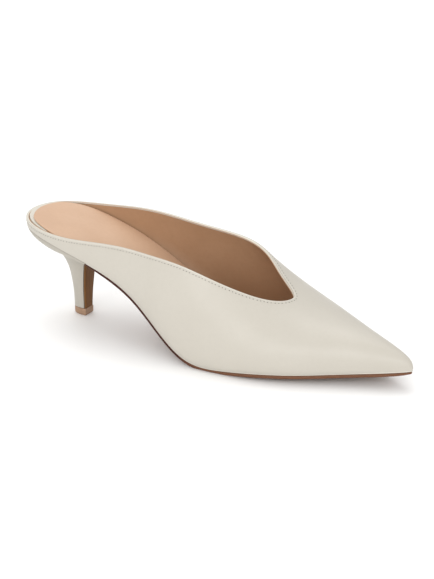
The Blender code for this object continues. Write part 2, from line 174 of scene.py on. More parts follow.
WORLD_COLOUR = (1.0, 0.995, 0.985, 1.0)
WORLD_STRENGTH = 0.88
LIGHT_AIM = (0.0, 0.0, 0.03)

CAMERA_AZIMUTH = 33.24
CAMERA_ELEVATION = 22.74
CAMERA_DISTANCE = 2.76
CAMERA_AIM = (-0.0018, -0.0006, 0.0335)
CAMERA_LENS = 389.0

# how finely the pieces are cut
BACK_STATIONS = 110    # along the upper behind the throat's end
TOE_STATIONS = 70      # and in front of it
EDGE_STATIONS = 150    # along the outsole and the roll
SEAM_STATIONS = 90
INSOLE_STATIONS = 120
SOCK_STATIONS = 110
SOCK_ACROSS = 12
RIB_SAMPLES = 80
RIB_ROWS = 36
INSOLE_ROWS = 14
HEEL_SPREAD = 36       # from the heel's breast to its back
HEEL_LEVELS = 90
STRAND_SIDES = 10
CAPSULE_SIDES = 8
NORMAL_PASSES = 4      # smoothing of the collar's normals

# along and radius as shares of the whole
CAPSULE_SECTION = ((-0.5, 0.35), (-0.38, 0.85), (0.0, 1.0), (0.38, 0.85), (0.5, 0.35))
# across the wall inwards and down the surface as shares of WALL and FOLD; rise is the
# share of FOLD_RISE by which the outer face stands proud
FOLD_SECTION = (
    (0.28, 1.00, 0.0), (0.0, 1.01, 0.3), (0.0, 0.97, 0.9), (0.0, 0.85, 1.0), (0.0, 0.55, 1.0),
    (0.02, 0.25, 0.8), (0.10, 0.08, 0.4), (0.28, 0.00, 0.0), (0.50, -0.02, 0.0), (0.72, 0.00, 0.0),
    (0.90, 0.08, 0.0), (1.02, 0.25, 0.0), (1.05, 0.55, 0.0), (1.05, 0.90, 0.0), (1.00, 0.98, 0.0),
    (0.65, 1.00, 0.0),
)
# across and height as shares of SOCK
SOCK_SECTION = (
    (0.25, 0.0), (0.04, 0.12), (0.0, 0.35), (0.04, 0.62), (0.22, 0.86), (0.55, 0.98), (1.0, 1.0),
)
# inset in metres from the edge, less where the sole is under 4 EDGE_ROOM broad; depth as a
# share of the sole's thickness
EDGE_ROOM = 0.001
SOLE_EDGE_SECTION = (
    (0.0006, 0.0), (0.00015, 0.02), (0.0, 0.10), (0.0, 0.35), (0.00004, 0.60), (0.00018, 0.80),
    (0.0005, 0.95), (0.0009, 1.0),
)
# inset and height in metres
TIP_SECTION = (
    (0.0002, TIP_HEIGHT), (0.0, TIP_HEIGHT - 0.0002), (0.0, 0.0014), (0.00008, 0.0009),
    (0.0003, 0.0004), (0.0006, 0.00012), (0.001, 0.0),
)
# name, place, size, power
LIGHTS = (
    ("window", (-1.0, 0.6, 2.2), (2.4, 2.0), 26.0),
    ("front", (0.7, -2.1, 1.1), (2.4, 1.4), 27.5),
)

camera_data = bpy.data.cameras.new("camera")
camera_data.sensor_fit = "HORIZONTAL"
camera_data.sensor_width = 36.0
camera_data.lens = CAMERA_LENS
camera_data.clip_end = 50.0
camera = bpy.data.objects.new("camera", camera_data)
azimuth = math.radians(CAMERA_AZIMUTH)
elevation = math.radians(CAMERA_ELEVATION)
flat = math.cos(elevation)
back = Vector((math.sin(azimuth) * flat, -math.cos(azimuth) * flat, math.sin(elevation)))
camera.location = Vector(CAMERA_AIM) + back * CAMERA_DISTANCE
camera.rotation_euler = (-back).to_track_quat("-Z", "Y").to_euler()
bpy.context.collection.objects.link(camera)
bpy.context.scene.camera = camera


def spline(xs, ys):
    """Natural cubic curve through the rows of a table."""
    count = len(xs)
    steps = np.diff(xs)
    matrix = np.eye(count)
    right = np.zeros(count)
    for i in range(1, count - 1):
        matrix[i, i - 1:i + 2] = steps[i - 1], 2 * (steps[i - 1] + steps[i]), steps[i]
        right[i] = 6 * ((ys[i + 1] - ys[i]) / steps[i] - (ys[i] - ys[i - 1]) / steps[i - 1])
    bend = np.linalg.solve(matrix, right)

    def curve(x):
        i = int(np.clip(np.searchsorted(xs, x) - 1, 0, count - 2))
        step = steps[i]
        after = x - xs[i]
        before = xs[i + 1] - x
        value = (bend[i] * before ** 3 + bend[i + 1] * after ** 3) / (6 * step)
        value += (ys[i] / step - bend[i] * step / 6) * before
        return value + (ys[i + 1] / step - bend[i + 1] * step / 6) * after
    return curve


def curves(names, rows):
    table = np.array(rows, dtype=float)
    return {name: spline(table[:, 0], table[:, i + 1]) for i, name in enumerate(names)}


SECTION = curves(SECTION_NAMES, SECTIONS)
OPENING = curves(COLLAR_NAMES, COLLAR)
INSOLE_CURVE = curves(INSOLE_NAMES, INSOLE)
HEEL_CURVE = curves(HEEL_NAMES, [(i, *row) for i, row in enumerate(HEEL)])
SIDES = ("lateral", "medial")


def opens(distance, scale):
    """0 at a round end, 1 well away from it."""
    return math.sqrt(1 - math.exp(-max(distance, 0.0) / scale))


def breadth(u):
    return opens(u * LENGTH, HEEL_ROUND) * opens((1 - u) * LENGTH, TOE_ROUND)


def middle(u):
    return 0.5 * (SECTION["lateral"](u) + SECTION["medial"](u)) * BALL_WIDTH


def widest(u, side):
    edge = SECTION[side](u) * BALL_WIDTH
    return u * LENGTH, middle(u) + (edge - middle(u)) * breadth(u)


def feather(u, side):
    """The line where the upper turns under, above the outsole."""
    back = SECTION["tuck_lateral"](0.0) * BALL_WIDTH
    front = SECTION["tuck_lateral"](1.0) * BALL_WIDTH
    tuck = SECTION["tuck_" + side](u) * BALL_WIDTH
    edge = SECTION[side](u) * BALL_WIDTH
    inner = edge + tuck if side == "lateral" else edge - tuck
    return back + u * (LENGTH - back - front), middle(u) + (inner - middle(u)) * breadth(u)


def seat(u):
    return SECTION["bottom"](u) * SEAT_HEIGHT


def widest_rise(u, nose):
    """Height of the widest line above the feather line."""
    return SECTION["widest"](u) * SEAT_HEIGHT * (NOSE_LOW + (1 - NOSE_LOW) * nose)


def last_point(u, side, angle):
    """The last's surface: -90 at the feather line, 0 at the widest, 90 on the ridge."""
    ox, oy = widest(u, side)
    nose = opens(LENGTH - ox, NOSE_ROUND)
    low = seat(u)
    wide = low + widest_rise(u, nose)
    if angle < 0:
        fx, fy = feather(u, side)
        c = math.cos(math.radians(angle))
        s = -math.sin(math.radians(angle))
        return fx + (ox - fx) * c, fy + (oy - fy) * c, wide + (low - wide) * s
    high = wide + (SECTION["ridge"](u) * RIDGE_HEIGHT - wide) * nose
    lean = BACK_LEAN * max(1 - u / LEAN_END, 0.0) ** 2
    power = 2 / SECTION["square"](u)
    c = abs(math.cos(math.radians(angle))) ** power
    s = abs(math.sin(math.radians(angle))) ** power
    crest = SECTION["crest"](u) * BALL_WIDTH
    return ox + lean * (1 - c), crest + (oy - crest) * c, wide + (high - wide) * s


def collar_angle(u, side):
    if u >= THROAT:
        return 90.0
    return 90 - OPENING[side](u) * opens((THROAT - u) * LENGTH, THROAT_ROUND)


def insole_angle(u):
    """The angle at which the last is one insole thickness above the feather line."""
    nose = opens(LENGTH - u * LENGTH, NOSE_ROUND)
    reach = widest_rise(u, nose)
    thick = INSOLE_CURVE["thick"](u) * SEAT_HEIGHT
    if thick < reach:
        return -math.degrees(math.asin(1 - thick / reach))
    high = SECTION["ridge"](u) * RIDGE_HEIGHT - seat(u) - reach
    return math.degrees(math.asin((thick - reach) / high))


def stations(start, end, count, close_start=True, close_end=True):
    """Shares of the length, closer together towards the round ends."""
    first = 0.0 if close_start else 0.5
    last = 1.0 if close_end else 0.5
    shares = []
    for i in range(count + 1):
        t = first + (last - first) * i / count
        low = 0.5 - 0.5 * math.cos(math.pi * first)
        high = 0.5 - 0.5 * math.cos(math.pi * last)
        eased = 0.5 - 0.5 * math.cos(math.pi * t)
        shares.append(start + (end - start) * (eased - low) / (high - low))
    return shares


class Skin:
    """Collects faces over shared corners; corners at one place become one vertex."""

    def __init__(self):
        self.mesh = bmesh.new()
        self.known = {}

    def vertex(self, co):
        key = tuple(round(float(c), 6) for c in co)
        if key not in self.known:
            self.known[key] = self.mesh.verts.new(tuple(float(c) for c in co))
        return self.known[key]

    def face(self, corners):
        around = []
        for vert in corners:
            if vert not in around:
                around.append(vert)
        if len(around) > 2 and self.mesh.faces.get(around) is None:
            self.mesh.faces.new(around)

    def strip(self, first, second, closed=False):
        count = len(first)
        for i in range(count if closed else count - 1):
            j = (i + 1) % count
            self.face([first[i], first[j], second[j], second[i]])

    def grid(self, rows, closed=False):
        for i in range(len(rows) - 1):
            self.strip(rows[i], rows[i + 1], closed)


def last_rows(shares, rows, top_of):
    """Points over the last for both sides: side, station, row."""
    sides = {}
    for side in SIDES:
        sides[side] = []
        for u in shares:
            top = top_of(u)
            line = [last_point(u, side, -90 + (top + 90) * j / rows) for j in range(rows + 1)]
            sides[side].append(line)
    return sides


def offset_rows(sides, distance):
    """The same rows moved inwards along the surface's own normals."""
    skin = Skin()
    verts = {side: [[skin.vertex(co) for co in line] for line in sides[side]] for side in SIDES}
    skin.grid(verts["lateral"])
    skin.grid([list(reversed(line)) for line in verts["medial"]])
    bmesh.ops.recalc_face_normals(skin.mesh, faces=skin.mesh.faces[:])
    skin.mesh.normal_update()
    probe = verts["lateral"][len(verts["lateral"]) // 2][2]
    inwards = 1.0 if probe.normal.y > 0 else -1.0
    moved = {}
    for side in SIDES:
        moved[side] = []
        for line in verts[side]:
            row = [tuple(vert.co + vert.normal * distance * inwards) for vert in line]
            foot = line[0].co
            row[0] = (foot.x, foot.y, foot.z + distance)
            moved[side].append(row)
    skin.mesh.free()
    return moved


def feather_at(x, side):
    """The feather line's y at a distance from the back."""
    back = SECTION["tuck_lateral"](0.0) * BALL_WIDTH
    front = SECTION["tuck_lateral"](1.0) * BALL_WIDTH
    u = (x - back) / (LENGTH - back - front)
    return feather(u, side)[1], seat(u)


def new_object(name, mesh, materials, sharp=None):
    data = bpy.data.meshes.new(name)
    mesh.to_mesh(data)
    mesh.free()
    for polygon in data.polygons:
        polygon.use_smooth = True
    if sharp is not None:
        data.set_sharp_from_angle(angle=math.radians(sharp))
    thing = bpy.data.objects.new(name, data)
    bpy.context.collection.objects.link(thing)
    for material in materials:
        data.materials.append(material)
    return thing


class Nodes:
    """Short names for building a material's nodes."""

    def __init__(self, name):
        self.material = bpy.data.materials.new(name)
        self.material.use_nodes = True
        self.tree = self.material.node_tree
        self.shader = self.tree.nodes["Principled BSDF"]
        self.coordinates = self.tree.nodes.new("ShaderNodeTexCoord").outputs["Object"]

    def link(self, output, target):
        self.tree.links.new(output, target)

    def noise(self, scale, detail=2.0, rough=0.5, stretch=None):
        node = self.tree.nodes.new("ShaderNodeTexNoise")
        node.inputs["Scale"].default_value = scale
        node.inputs["Detail"].default_value = detail
        node.inputs["Roughness"].default_value = rough
        self.link(self.stretched(stretch), node.inputs["Vector"])
        return node.outputs["Fac"]

    def cells(self, scale):
        node = self.tree.nodes.new("ShaderNodeTexVoronoi")
        node.feature = "F1"
        node.inputs["Scale"].default_value = scale
        self.link(self.coordinates, node.inputs["Vector"])
        return node.outputs["Distance"]

    def stretched(self, stretch):
        if stretch is None:
            return self.coordinates
        node = self.tree.nodes.new("ShaderNodeMapping")
        node.inputs["Scale"].default_value = stretch
        self.link(self.coordinates, node.inputs["Vector"])
        return node.outputs["Vector"]

    def ranged(self, value, low, high, start=0.3, end=0.7):
        node = self.tree.nodes.new("ShaderNodeMapRange")
        node.inputs["From Min"].default_value = start
        node.inputs["From Max"].default_value = end
        node.inputs["To Min"].default_value = low
        node.inputs["To Max"].default_value = high
        self.link(value, node.inputs["Value"])
        return node.outputs["Result"]

    def mixed(self, factor, first, second):
        node = self.tree.nodes.new("ShaderNodeMix")
        node.data_type = "RGBA"
        self.link(factor, node.inputs["Factor"])
        for socket, value in (("A", first), ("B", second)):
            place = [i for i in node.inputs if i.name == socket and i.type == "RGBA"][0]
            if isinstance(value, tuple):
                place.default_value = (*value, 1.0)
            else:
                self.link(value, place)
        return [o for o in node.outputs if o.type == "RGBA"][0]

    def bump(self, height, strength, distance, below=None):
        node = self.tree.nodes.new("ShaderNodeBump")
        node.inputs["Strength"].default_value = strength
        node.inputs["Distance"].default_value = distance
        self.link(height, node.inputs["Height"])
        if below is not None:
            self.link(below, node.inputs["Normal"])
        return node.outputs["Normal"]


def leather(name, pale, deep, rough, grain=1500.0):
    """Smooth dressed leather: faint mottling, fine pores and slow waves."""
    n = Nodes(name)
    mottle = n.noise(28.0, 3.0, 0.55)
    fine = n.noise(420.0, 2.0, 0.6)
    colour = n.mixed(n.ranged(mottle, 0.0, 1.0), pale, deep)
    speck = tuple(0.97 * c for c in deep)
    colour = n.mixed(n.ranged(fine, 0.0, 0.35, 0.45, 0.75), colour, speck)
    n.link(colour, n.shader.inputs["Base Color"])
    n.link(n.ranged(n.noise(60.0, 3.0), rough[0], rough[1]), n.shader.inputs["Roughness"])
    waves = n.bump(n.noise(32.0, 1.0, 0.4), 0.5, WAVE_DEPTH)
    creases = n.bump(n.noise(260.0, 2.0, 0.55), 0.35, GRAIN_DEPTH, waves)
    pores = n.bump(n.cells(grain), 0.35, GRAIN_DEPTH, creases)
    n.link(pores, n.shader.inputs["Normal"])
    return n.material


def sole_leather(name, pale, deep, stretch, rough=(0.38, 0.5)):
    """Waxed sole leather with a grain drawn along one direction."""
    n = Nodes(name)
    streak = n.noise(120.0, 4.0, 0.6, stretch)
    cloud = n.noise(45.0, 2.0)
    colour = n.mixed(n.ranged(streak, 0.0, 1.0), pale, deep)
    colour = n.mixed(n.ranged(cloud, 0.0, 0.3, 0.4, 0.8), colour, tuple(0.7 * c for c in deep))
    n.link(colour, n.shader.inputs["Base Color"])
    n.link(n.ranged(streak, rough[0], rough[1]), n.shader.inputs["Roughness"])
    n.shader.inputs["Specular IOR Level"].default_value = 0.25
    n.link(n.bump(n.noise(420.0, 3.0, 0.6, stretch), 0.4, 0.00005), n.shader.inputs["Normal"])
    return n.material


def matt_plastic(name, pale, deep):
    """An even matt surface, also for thread and for thin shaded lines."""
    n = Nodes(name)
    cloud = n.noise(300.0, 3.0)
    n.link(n.mixed(n.ranged(cloud, 0.0, 1.0), pale, deep), n.shader.inputs["Base Color"])
    n.link(n.ranged(cloud, 0.42, 0.55), n.shader.inputs["Roughness"])
    n.link(n.bump(n.noise(1500.0, 2.0), 0.3, 0.00002), n.shader.inputs["Normal"])
    return n.material


def edge_leather(name):
    """The outsole's edge: nearly black along the waist, brown from the ball to the toe."""
    n = Nodes(name)
    split = n.tree.nodes.new("ShaderNodeSeparateXYZ")
    n.link(n.coordinates, split.inputs["Vector"])
    streak = n.noise(260.0, 3.0, 0.6, (1.0, 1.0, 5.0))
    dark = n.mixed(n.ranged(streak, 0.0, 1.0), (0.060, 0.0145, 0.0095), (0.040, 0.009, 0.0055))
    brown = n.mixed(n.ranged(streak, 0.0, 1.0), (0.185, 0.088, 0.050), (0.140, 0.063, 0.035))
    ahead = n.ranged(split.outputs["X"], 0.0, 1.0, *EDGE_TURN)
    n.link(n.mixed(ahead, dark, brown), n.shader.inputs["Base Color"])
    n.link(n.ranged(streak, 0.45, 0.58), n.shader.inputs["Roughness"])
    n.shader.inputs["Specular IOR Level"].default_value = 0.15
    n.link(n.bump(streak, 0.3, 0.00004), n.shader.inputs["Normal"])
    return n.material


WHITE = leather("ivory_leather", (0.514, 0.483, 0.425), (0.492, 0.461, 0.403), (0.40, 0.50))
# paler ivory leather: the real pale edge of the collar's fold and of the insole, and a painted
# highlight on the roll above the outsole
PALE_EDGE_AND_HIGHLIGHT = leather("ivory_edge_and_highlight", (0.60, 0.57, 0.50), (0.57, 0.54, 0.47), (0.40, 0.50))
# the upper's ivory leather made darker as painted shade, for the less lit sides of the heel
SHADED_HEEL_COVER = leather("ivory_heel_cover_painted_shade", (0.425, 0.398, 0.347), (0.407, 0.380, 0.328), (0.40, 0.50))
LINING = leather("tan_lining", (0.42, 0.25, 0.145), (0.37, 0.21, 0.115), (0.5, 0.62), 1100.0)
SOCKING = leather("tan_sock", (0.56, 0.365, 0.24), (0.51, 0.325, 0.21), (0.45, 0.58), 1100.0)
SOLE_EDGE = edge_leather("dark_sole_edge")
SOLE_FACE = sole_leather("brown_sole", (0.22, 0.125, 0.069), (0.165, 0.086, 0.045), (0.5, 3.0, 1.0))
BREAST_PALE = (0.185, 0.082, 0.022)
BREAST_DEEP = (0.126, 0.051, 0.012)
BREAST_FACE = sole_leather("brown_breast", BREAST_PALE, BREAST_DEEP, (3.0, 6.0, 0.4), (0.55, 0.65))
TIP = matt_plastic("tan_tip", (0.335, 0.205, 0.125), (0.30, 0.18, 0.11))
THREAD = matt_plastic("ivory_thread", (0.56, 0.53, 0.465), (0.51, 0.48, 0.42))
# dark capsules that stand for the shade inside the needle holes: painted shade
HOLE_SHADE = matt_plastic("needle_hole_shade", (0.14, 0.125, 0.105), (0.11, 0.10, 0.085))
SEAM_SHADE = matt_plastic("seam_shade", (0.27, 0.24, 0.20), (0.23, 0.205, 0.17))

shares = stations(0.0, THROAT, BACK_STATIONS) + stations(THROAT, 1.0, TOE_STATIONS)[1:]


def rib(u, side, rows):
    """One rib of the last from the feather line to the collar, evenly spaced."""
    top = collar_angle(u, side)
    angles = [-90 + (top + 90) * k / RIB_SAMPLES for k in range(RIB_SAMPLES + 1)]
    points = np.array([last_point(u, side, angle) for angle in angles])
    steps = np.linalg.norm(np.diff(points, axis=0), axis=1)
    lengths = np.concatenate([[0.0], np.cumsum(steps)])
    wanted = np.linspace(0.0, lengths[-1], rows + 1)
    even = [np.interp(wanted, lengths, points[:, axis]) for axis in range(3)]
    return [tuple(float(value) for value in co) for co in zip(*even)]


outer_rows = {side: [rib(u, side, RIB_ROWS) for u in shares] for side in SIDES}
reach = {side: [point for line in outer_rows[side] for point in line] for side in SIDES}
lowest = min(point[1] for point in reach["lateral"])
highest = max(point[1] for point in reach["medial"])
box_low, box_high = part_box("upper")
SHIFT = (-0.5 * LENGTH, 0.5 * (box_low.y + box_high.y) - 0.5 * (lowest + highest))


def placed(co):
    return (co[0] + SHIFT[0], co[1] + SHIFT[1], co[2])


def sheet(depth):
    """The last's rows at a depth, kept behind the toe's own thickness."""
    if depth == 0:
        return outer_rows
    moved = offset_rows(outer_rows, depth)
    limit = LENGTH - depth
    kept = {}
    for side in SIDES:
        kept[side] = [[(min(x, limit), y, z) for x, y, z in line] for line in moved[side]]
    return kept


def layer(name, material, outer_depth, inner_depth):
    """A closed sheet between two depths under the last's surface."""
    outer = sheet(outer_depth)
    inner = sheet(inner_depth)
    skin = Skin()
    out_verts = {}
    in_verts = {}
    for side in SIDES:
        out_verts[side] = [[skin.vertex(placed(co)) for co in line] for line in outer[side]]
        in_verts[side] = [[skin.vertex(placed(co)) for co in line] for line in inner[side]]
        skin.grid(out_verts[side])
        skin.grid(in_verts[side])
        skin.strip([line[0] for line in out_verts[side]], [line[0] for line in in_verts[side]])
        edge_out = [line[-1] for line, u in zip(out_verts[side], shares) if u <= THROAT]
        edge_in = [line[-1] for line, u in zip(in_verts[side], shares) if u <= THROAT]
        skin.strip(edge_out, edge_in)
    bmesh.ops.recalc_face_normals(skin.mesh, faces=skin.mesh.faces[:])
    return new_object(name, skin.mesh, [material], sharp=50)


def collar_line():
    """Even points round the collar with their normals, the way down and the surface."""
    surface = Skin()
    verts = {}
    for side in SIDES:
        verts[side] = [[surface.vertex(placed(co)) for co in line] for line in outer_rows[side]]
    surface.grid(verts["lateral"])
    surface.grid([list(reversed(line)) for line in verts["medial"]])
    bmesh.ops.recalc_face_normals(surface.mesh, faces=surface.mesh.faces[:])
    surface.mesh.normal_update()
    probe = verts["lateral"][len(shares) // 2][4]
    if probe.normal.y > 0:
        bmesh.ops.reverse_faces(surface.mesh, faces=surface.mesh.faces[:])
        surface.mesh.normal_update()
    tree = BVHTree.FromBMesh(surface.mesh)
    ahead = [i for i, u in enumerate(shares) if u <= THROAT]
    loop = [verts["lateral"][i] for i in reversed(ahead)]
    loop += [verts["medial"][i] for i in ahead[1:-1]]
    points = np.array([tuple(line[-1].co) for line in loop])
    normals = np.array([tuple(line[-2].normal) for line in loop])
    downs = np.array([tuple(line[-3].co - line[-1].co) for line in loop])
    surface.mesh.free()
    tracks = [np.vstack([values, values[:1]]) for values in (points, normals, downs)]
    steps = np.linalg.norm(np.diff(tracks[0], axis=0), axis=1)
    lengths = np.concatenate([[0.0], np.cumsum(steps)])
    count = int(lengths[-1] / COLLAR_STEP)
    wanted = np.linspace(0.0, lengths[-1], count + 1)[:-1]
    sampled = []
    for values in tracks:
        even = [np.interp(wanted, lengths, values[:, axis]) for axis in range(3)]
        sampled.append(np.stack(even, axis=1))
    return sampled, tree, lengths[-1]


def smoothed(values, times):
    for _ in range(times):
        before = np.roll(values, 1, axis=0)
        after = np.roll(values, -1, axis=0)
        values = 0.25 * before + 0.5 * values + 0.25 * after
    return values


def collar_frames(points, normals, downs):
    """At each point the way along, the way out and the way up to the edge."""
    normals = smoothed(normals, NORMAL_PASSES)
    frames = []
    count = len(points)
    for i in range(count):
        tangent = Vector(points[(i + 1) % count] - points[i - 1]).normalized()
        normal = Vector(normals[i])
        normal = (normal - tangent * normal.dot(tangent)).normalized()
        frames.append((Vector(points[i]), tangent, normal, tangent.cross(normal).normalized()))
    votes = sum(1 if axes[3].dot(Vector(downs[i])) < 0 else -1 for i, axes in enumerate(frames))
    if votes < 0:
        frames = [(point, tangent, normal, -up) for point, tangent, normal, up in frames]
    return frames


def build_fold(frames, tree):
    """The folded edge of the collar: a strip over both faces of the leather."""
    skin = Skin()
    rings = []
    for point, _, normal, up in frames:
        foot = tree.find_nearest(point - up * FOLD)[0]
        down = foot - point
        ring = []
        for across, along, rise in FOLD_SECTION:
            inwards = across * WALL - rise * FOLD_RISE
            ring.append(skin.vertex(point - normal * inwards + down * along))
        rings.append(ring)
    for i, ring in enumerate(rings):
        skin.strip(ring, rings[(i + 1) % len(rings)], closed=True)
    bmesh.ops.recalc_face_normals(skin.mesh, faces=skin.mesh.faces[:])
    return new_object("topline_fold", skin.mesh, [PALE_EDGE_AND_HIGHLIGHT], sharp=60)


def capsule(mesh, centre, along, normal, length, radius):
    """A short round body with eased ends."""
    side = along.cross(normal).normalized()
    normal = side.cross(along).normalized()
    rings = []
    for share, size in CAPSULE_SECTION:
        ring = []
        for k in range(CAPSULE_SIDES):
            angle = 2 * math.pi * k / CAPSULE_SIDES
            offset = side * math.cos(angle) + normal * math.sin(angle)
            ring.append(mesh.verts.new(centre + along * share * length + offset * size * radius))
        rings.append(ring)
    for first, second in zip(rings, rings[1:]):
        for k in range(CAPSULE_SIDES):
            beside = (k + 1) % CAPSULE_SIDES
            mesh.faces.new([first[k], first[beside], second[beside], second[k]])
    mesh.faces.new(list(reversed(rings[0])))
    mesh.faces.new(rings[-1])


def stitch_places(frames, tree, perimeter):
    """Even places on the leather a little below the collar's edge."""
    count = int(perimeter / STITCH_PITCH)
    step = len(frames) / count
    places = []
    for k in range(count):
        point, _, _, up = frames[int(k * step) % len(frames)]
        near = tree.find_nearest(point - up * STITCH_INSET)
        places.append((near[0], near[1]))
    return places


def build_stitches(places):
    mesh = bmesh.new()
    count = len(places)
    for k, (place, normal) in enumerate(places):
        along = (places[(k + 1) % count][0] - places[k - 1][0]).normalized()
        capsule(mesh, place - normal * STITCH_SINK, along, normal, STITCH_LENGTH, STITCH_RADIUS)
    bmesh.ops.recalc_face_normals(mesh, faces=mesh.faces[:])
    return new_object("topline_stitches", mesh, [THREAD])


def build_holes(places):
    """Dark capsules of painted shade in the needle holes between the stitches."""
    mesh = bmesh.new()
    count = len(places)
    for k, (place, normal) in enumerate(places):
        ahead = places[(k + 1) % count]
        centre = 0.5 * (place + ahead[0]) - normal * HOLE_SINK
        along = (ahead[0] - place).normalized()
        capsule(mesh, centre, along, normal, HOLE_LENGTH, HOLE_RADIUS)
    bmesh.ops.recalc_face_normals(mesh, faces=mesh.faces[:])
    return new_object("topline_hole_shades", mesh, [HOLE_SHADE])


def strand(name, line, radius, material):
    """A closed round strip along a line of points."""
    skin = Skin()
    rings = []
    for i, point in enumerate(line):
        before = line[max(i - 1, 0)]
        after = line[min(i + 1, len(line) - 1)]
        tangent = (after - before).normalized()
        flat = Vector((tangent.y, -tangent.x, 0.0)).normalized()
        up = flat.cross(tangent).normalized()
        ring = []
        for k in range(STRAND_SIDES):
            angle = 2 * math.pi * k / STRAND_SIDES
            offset = flat * math.cos(angle) + up * math.sin(angle)
            ring.append(skin.vertex(placed(point + offset * radius)))
        rings.append(ring)
    skin.grid(rings, closed=True)
    skin.face(rings[0])
    skin.face(rings[-1])
    bmesh.ops.recalc_face_normals(skin.mesh, faces=skin.mesh.faces[:])
    return new_object(name, skin.mesh, [material])


def build_bead():
    """The roll where the upper turns under, just above the outsole; its paler leather is a painted
    highlight.
    """
    line = []
    for side in SIDES:
        points = []
        for u in stations(BEAD_START, 1.0, EDGE_STATIONS, close_start=False):
            fx, fy = feather(u, side)
            ox, oy = widest(u, side)
            out = Vector((ox - fx, oy - fy, 0.0))
            if out.length > 0:
                out.normalize()
            points.append(Vector((fx, fy, seat(u) + BEAD_RISE * BEAD)) + out * BEAD_OUT * BEAD)
        line += points if side == "lateral" else list(reversed(points))[1:]
    return strand("feather_roll", line, BEAD, PALE_EDGE_AND_HIGHLIGHT)


def build_heel_seam():
    """The fine dark line of painted shade in the gap where the heel's cover meets the upper, round
    the back.
    """
    line = []
    for side in SIDES:
        along = stations(0.0, BEAD_START, SEAM_STATIONS, close_end=False)
        points = [Vector(last_point(u, side, SEAM_ANGLE)) for u in along]
        line += list(reversed(points)) if side == "lateral" else points[1:]
    return strand("heel_seam", line, SEAM, SEAM_SHADE)


def build_insole():
    """Fills the space above the outsole inside the turned-under wall."""
    along = stations(0.0, PLUG_END, INSOLE_STATIONS, close_end=False)
    moved = offset_rows(last_rows(along, INSOLE_ROWS, insole_angle), WALL + GAP)
    skin = Skin()
    rings = []
    for i, u in enumerate(along):
        ring = []
        for side in SIDES:
            x, y = feather(u, side)
            tuck = SECTION["tuck_" + side](u) * BALL_WIDTH
            inset = 2 * GAP + max(WALL - 0.5 * tuck, GAP)
            shrink = max(1 - inset / max(abs(y - middle(u)), 1e-6), 0.0)
            x = x + inset * (1 - breadth(u))
            y = middle(u) + (y - middle(u)) * shrink
            line = moved[side][i][1:]
            rim = min(seat(u) + WALL + GAP, line[0][2])
            line = [(x, y, seat(u) + GAP), (x, y, rim)] + line
            ring.append([skin.vertex(placed(co)) for co in line])
        rings.append(ring[0] + list(reversed(ring[1])))
    skin.grid(rings, closed=True)
    skin.face(rings[-1])
    bmesh.ops.recalc_face_normals(skin.mesh, faces=skin.mesh.faces[:])
    skin.mesh.normal_update()
    materials = [PALE_EDGE_AND_HIGHLIGHT, SOCKING]
    for face in skin.mesh.faces:
        faces_up = face.normal.z > 0.5
        if faces_up and face.calc_center_median().x > INSOLE_TAN + SHIFT[0]:
            face.material_index = materials.index(SOCKING)
    top = {side: [line[-1] for line in moved[side]] for side in SIDES}
    return new_object("insole_edge", skin.mesh, materials, sharp=50), top


def build_sock(top):
    """The tan sheet on the insole, set in from its pale edge at the back."""
    back = 0.5 * (top["lateral"][0][0] + top["medial"][0][0])
    start = back + SOCK_BACK
    end = SOCK_END * LENGTH
    skin = Skin()
    rings = []
    for u in stations(0.0, 1.0, SOCK_STATIONS, close_end=False):
        x = start + u * (end - start)
        inset = SOCK_INSET + SOCK_EASE * max(1 - u / SOCK_EASE_END, 0.0)
        edges = []
        heights = []
        for side in SIDES:
            line = top[side]
            xs = [p[0] for p in line]
            edges.append(float(np.interp(x + SOCK_AHEAD * inset, xs, [p[1] for p in line])))
            heights.append(float(np.interp(x, xs, [p[2] for p in line])))
        centre = 0.5 * (edges[0] + edges[1])
        half = max(0.5 * (edges[1] - edges[0]) - inset, 0.0)
        half *= opens(x - start, SOCK_INSET + SOCK_ROUND * HEEL_ROUND)
        low = max(heights) + GAP
        ring = []
        for across, height in SOCK_SECTION:
            ring.append((x, centre - max(half - across * SOCK, 0.0), low + height * SOCK))
        across_top = [k / SOCK_ACROSS for k in range(1, SOCK_ACROSS)]
        width = max(half - SOCK, 0.0)
        ring += [(x, centre - width + 2 * width * k, low + SOCK) for k in across_top]
        for across, height in reversed(SOCK_SECTION):
            ring.append((x, centre + max(half - across * SOCK, 0.0), low + height * SOCK))
        rings.append([skin.vertex(placed(co)) for co in ring])
    skin.grid(rings, closed=True)
    skin.face(rings[-1])
    bmesh.ops.recalc_face_normals(skin.mesh, faces=skin.mesh.faces[:])
    return new_object("sock_lining", skin.mesh, [SOCKING], sharp=50)


